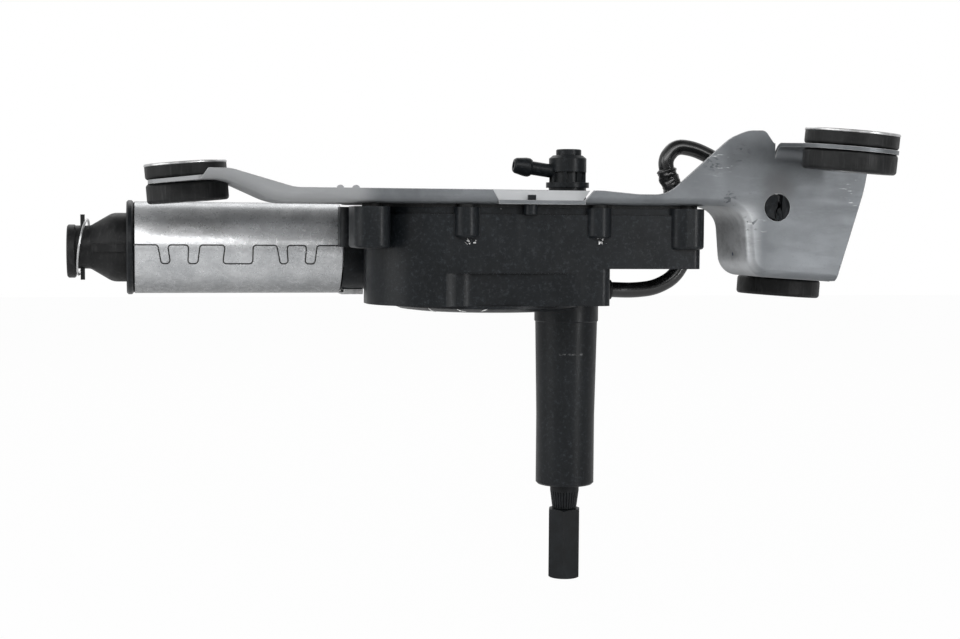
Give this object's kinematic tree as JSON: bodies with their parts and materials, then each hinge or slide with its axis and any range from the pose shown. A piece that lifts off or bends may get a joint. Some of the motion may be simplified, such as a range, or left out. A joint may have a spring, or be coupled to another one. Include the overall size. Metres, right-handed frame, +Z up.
{
  "type": "rear wiper motor",
  "caption": "Rear wiper motor with sheet steel bracket, rubber mounts, worm gear and reversing linkage in a plastic housing, long output tube with knurled spindle, washer feed and lead",
  "frame": {"origin": "on the axis of the output spindle, in the plane of the gear housing's underside, at the top of the output tube's collar", "axes": "X along the motor from its rubber nose to the bracket's upright face, Y away from that face, Z up, with the output spindle pointing down"},
  "size_m": [0.3278, 0.1428, 0.1919],
  "materials": {
    "zinc_steel": "zinc plated pressed steel sheet",
    "housing_plastic": "black glass filled nylon",
    "fine_plastic": "black moulded plastic",
    "natural_plastic": "natural acetal",
    "board_laminate": "brown laminate board",
    "rubber": "black moulded rubber",
    "yoke_steel": "zinc plated rolled steel",
    "bright_steel": "zinc plated steel",
    "hard_steel": "ground hardened steel",
    "black_steel": "black phosphated steel",
    "core_steel": "stamped laminations",
    "ferrite": "sintered ferrite",
    "carbon": "pressed carbon",
    "copper": "copper",
    "bronze": "sintered bronze"
  },
  "bodies": {
    "frame": {"mounting_bracket": "zinc_steel", "gear_housing": "housing_plastic", "housing_gasket": "rubber", "cover_screws": "bright_steel", "locating_peg": "housing_plastic", "output_tube": "housing_plastic", "upper_spindle_bush": "bronze", "lower_spindle_bush": "bronze", "spindle_seal": "rubber", "wheel_axle": "hard_steel", "contact_board": "board_laminate", "contact_fingers": "copper", "board_posts": "fine_plastic", "motor_barrel": "yoke_steel", "magnets": "ferrite", "brushes": "carbon", "brush_springs": "hard_steel", "brush_carrier": "housing_plastic", "retaining_clip": "bright_steel", "front_bearing": "hard_steel", "rear_bearing": "bronze", "thrust_pad": "natural_plastic", "end_cap": "fine_plastic", "rubber_nose": "rubber", "nose_clip_ring": "bright_steel", "washer_fitting": "fine_plastic", "washer_cap": "fine_plastic", "washer_tube": "natural_plastic", "lead_boot": "rubber", "lead_sleeve": "rubber", "tape_wrap": "rubber", "connector": "fine_plastic", "connector_clip": "fine_plastic", "left_grommet": "rubber", "upper_grommet": "rubber", "lower_grommet": "rubber", "left_mount_bush": "bright_steel", "upper_mount_bush": "bright_steel", "lower_mount_bush": "bright_steel"},
    "armature": {"armature_shaft": "hard_steel", "worm": "hard_steel", "lamination_stack": "core_steel", "windings": "copper", "commutator": "copper"},
    "gear_wheel": {"worm_wheel": "natural_plastic", "crank_pin": "hard_steel", "contact_disc": "copper"},
    "spindle": {"output_spindle": "black_steel", "output_pinion": "hard_steel", "tube_washer": "black_steel", "spindle_circlip": "bright_steel", "hex_cap": "black_steel"},
    "rocker": {"rocker_plate": "hard_steel", "rocker_pin": "hard_steel"},
    "sector": {"sector_link": "hard_steel"}
  },
  "joints": [
    {"name": "armature_spin", "type": "hinge", "parent": "frame", "child": "armature", "pos_m": [-0.036, 0.024, 0.0221], "axis": [1, 0, 0], "continuous": true},
    {"name": "gear_wheel_spin", "type": "hinge", "parent": "frame", "child": "gear_wheel", "pos_m": [-0.036, -0.002, 0.0221], "axis": [0, 0, 1], "continuous": true},
    {"name": "spindle_swing", "type": "hinge", "parent": "frame", "child": "spindle", "pos_m": [0, 0, 0], "axis": [0, 0, 1], "range_deg": [0, 110]},
    {"name": "rocker_swing", "type": "hinge", "parent": "frame", "child": "rocker", "pos_m": [0, 0, 0], "axis": [0, 0, 1], "range_deg": [0, 40]},
    {"name": "sector_link_turn", "type": "hinge", "parent": "rocker", "child": "sector", "pos_m": [-0.0178, -0.01293, 0.0221], "axis": [0, 0, 1], "range_deg": [-40, 0]}
  ],
  "couplings": [
    {"joint": "gear_wheel_spin", "follows": "armature_spin", "ratio": 0.023256},
    {"joint": "rocker_swing", "follows": "spindle_swing", "ratio": 0.36364},
    {"joint": "sector_link_turn", "follows": "spindle_swing", "ratio": -0.36364}
  ]
}
